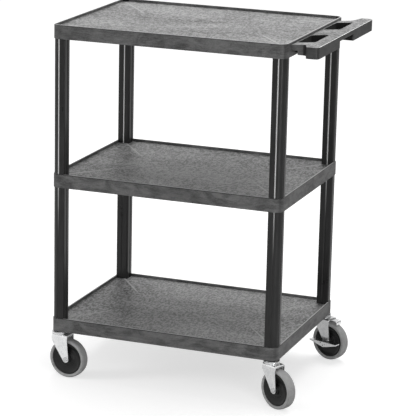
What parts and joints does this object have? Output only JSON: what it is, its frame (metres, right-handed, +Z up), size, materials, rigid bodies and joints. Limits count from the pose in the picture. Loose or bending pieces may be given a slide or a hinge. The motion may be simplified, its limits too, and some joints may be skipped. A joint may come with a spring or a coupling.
{
  "type": "utility cart",
  "caption": "Charcoal plastic utility cart: lipped shelves on corner posts, moulded push handle at one end, swivel casters, rocker brakes on the back casters",
  "frame": {"origin": "on the floor under the middle of the cart's outline", "axes": "+Z up, +X along the shelves towards the handle, +Y towards the back"},
  "size_m": [0.697, 0.4862, 0.913],
  "materials": {
    "charcoal_plastic": "moulded structural foam, fine grained top, faintly swirled skirts",
    "post_plastic": "smooth moulded plastic, slightly glossy",
    "hub_plastic": "smooth black moulding",
    "sleeve_plastic": "plain black moulding",
    "grey_rubber": "matte non-marking rubber",
    "zinc_plate": "bright zinc plated pressing",
    "bright_steel": "plain bright steel"
  },
  "bodies": {
    "frame": {"bottom_shelf": "charcoal_plastic", "middle_shelf": "charcoal_plastic", "top_shelf": "charcoal_plastic", "lower_post_front_left": "post_plastic", "lower_post_front_right": "post_plastic", "lower_post_back_left": "post_plastic", "lower_post_back_right": "post_plastic", "upper_post_front_left": "post_plastic", "upper_post_front_right": "post_plastic", "upper_post_back_left": "post_plastic", "upper_post_back_right": "post_plastic", "caster_sleeve_front_left": "sleeve_plastic", "caster_sleeve_front_right": "sleeve_plastic", "caster_sleeve_back_left": "sleeve_plastic", "caster_sleeve_back_right": "sleeve_plastic", "caster_stem_front_left": "zinc_plate", "caster_stem_front_right": "zinc_plate", "caster_stem_back_left": "zinc_plate", "caster_stem_back_right": "zinc_plate"},
    "swivel_front_left": {"race_cup_front_left": "zinc_plate", "race_balls_front_left": "bright_steel", "fork_front_left": "zinc_plate", "axle_bolt_front_left": "bright_steel", "axle_nut_front_left": "bright_steel", "bush_front_left": "bright_steel"},
    "wheel_front_left": {"hub_front_left": "hub_plastic", "tyre_front_left": "grey_rubber"},
    "swivel_front_right": {"race_cup_front_right": "zinc_plate", "race_balls_front_right": "bright_steel", "fork_front_right": "zinc_plate", "axle_bolt_front_right": "bright_steel", "axle_nut_front_right": "bright_steel", "bush_front_right": "bright_steel"},
    "wheel_front_right": {"hub_front_right": "hub_plastic", "tyre_front_right": "grey_rubber"},
    "swivel_back_left": {"race_cup_back_left": "zinc_plate", "race_balls_back_left": "bright_steel", "fork_back_left": "zinc_plate", "axle_bolt_back_left": "bright_steel", "axle_nut_back_left": "bright_steel", "bush_back_left": "bright_steel", "brake_shoe_back_left": "zinc_plate"},
    "wheel_back_left": {"hub_back_left": "hub_plastic", "tyre_back_left": "grey_rubber"},
    "pedal_back_left": {"brake_pedal_back_left": "zinc_plate"},
    "swivel_back_right": {"race_cup_back_right": "zinc_plate", "race_balls_back_right": "bright_steel", "fork_back_right": "zinc_plate", "axle_bolt_back_right": "bright_steel", "axle_nut_back_right": "bright_steel", "bush_back_right": "bright_steel", "brake_shoe_back_right": "zinc_plate"},
    "wheel_back_right": {"hub_back_right": "hub_plastic", "tyre_back_right": "grey_rubber"},
    "pedal_back_right": {"brake_pedal_back_right": "zinc_plate"}
  },
  "joints": [
    {"name": "caster_swivel_front_left", "type": "hinge", "parent": "frame", "child": "swivel_front_left", "pos_m": [-0.32295, -0.1988, 0.116], "axis": [0, 0, 1], "continuous": true},
    {"name": "wheel_spin_front_left", "type": "hinge", "parent": "swivel_front_left", "child": "wheel_front_left", "pos_m": [-0.2971, -0.20152, 0.05038], "axis": [0.1045, 0.9945, 0], "continuous": true},
    {"name": "caster_swivel_front_right", "type": "hinge", "parent": "frame", "child": "swivel_front_right", "pos_m": [0.25005, -0.1988, 0.116], "axis": [0, 0, 1], "continuous": true},
    {"name": "wheel_spin_front_right", "type": "hinge", "parent": "swivel_front_right", "child": "wheel_front_right", "pos_m": [0.27321, -0.21061, 0.05038], "axis": [0.454, 0.891, 0], "continuous": true},
    {"name": "caster_swivel_back_left", "type": "hinge", "parent": "frame", "child": "swivel_back_left", "pos_m": [-0.32295, 0.2212, 0.116], "axis": [0, 0, 1], "continuous": true},
    {"name": "wheel_spin_back_left", "type": "hinge", "parent": "swivel_back_left", "child": "wheel_back_left", "pos_m": [-0.29773, 0.21491, 0.05038], "axis": [0.2419, 0.9703, 0], "continuous": true},
    {"name": "brake_pedal_hinge_back_left", "type": "hinge", "parent": "swivel_back_left", "child": "pedal_back_left", "pos_m": [-0.29773, 0.21491, 0.05038], "axis": [0.2419, 0.9703, 0], "range_deg": [0, 12]},
    {"name": "caster_swivel_back_right", "type": "hinge", "parent": "frame", "child": "swivel_back_right", "pos_m": [0.25005, 0.2212, 0.116], "axis": [0, 0, 1], "continuous": true},
    {"name": "wheel_spin_back_right", "type": "hinge", "parent": "swivel_back_right", "child": "wheel_back_right", "pos_m": [0.27463, 0.21273, 0.05038], "axis": [0.3256, 0.9455, 0], "continuous": true},
    {"name": "brake_pedal_hinge_back_right", "type": "hinge", "parent": "swivel_back_right", "child": "pedal_back_right", "pos_m": [0.27463, 0.21273, 0.05038], "axis": [0.3256, 0.9455, 0], "range_deg": [0, 12]}
  ]
}
